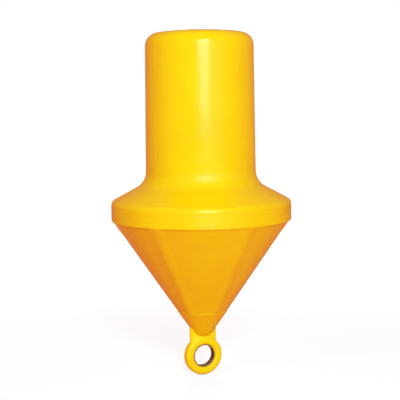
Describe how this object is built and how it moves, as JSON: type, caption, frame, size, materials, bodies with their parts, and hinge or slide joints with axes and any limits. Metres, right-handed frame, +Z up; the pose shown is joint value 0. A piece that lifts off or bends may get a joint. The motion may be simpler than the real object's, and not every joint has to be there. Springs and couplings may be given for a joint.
{
  "type": "can-shaped navigation buoy",
  "caption": "Floating can-shaped navigation mark with a cylindrical daymark, round float band, ribbed conical keel and a mooring eye below.",
  "frame": {"origin": "on the buoy's axis at the lower edge of the float band, which is the design waterline", "axes": "+Z up along the buoy's axis; the mooring eye opens along Y"},
  "size_m": [0.8, 0.7996, 1.541],
  "materials": {
    "hull": "glossy moulded polyethylene, signal yellow",
    "lug": "glossy moulded polyethylene, signal yellow",
    "bush": "dull galvanised steel",
    "seal": "matt black rubber",
    "plug": "matt black plastic"
  },
  "bodies": {
    "root": {"hull_shell": "hull", "mooring_lug": "lug", "eye_bush": "bush", "plug_seal": "seal", "filler_plug": "plug"}
  },
  "joints": []
}
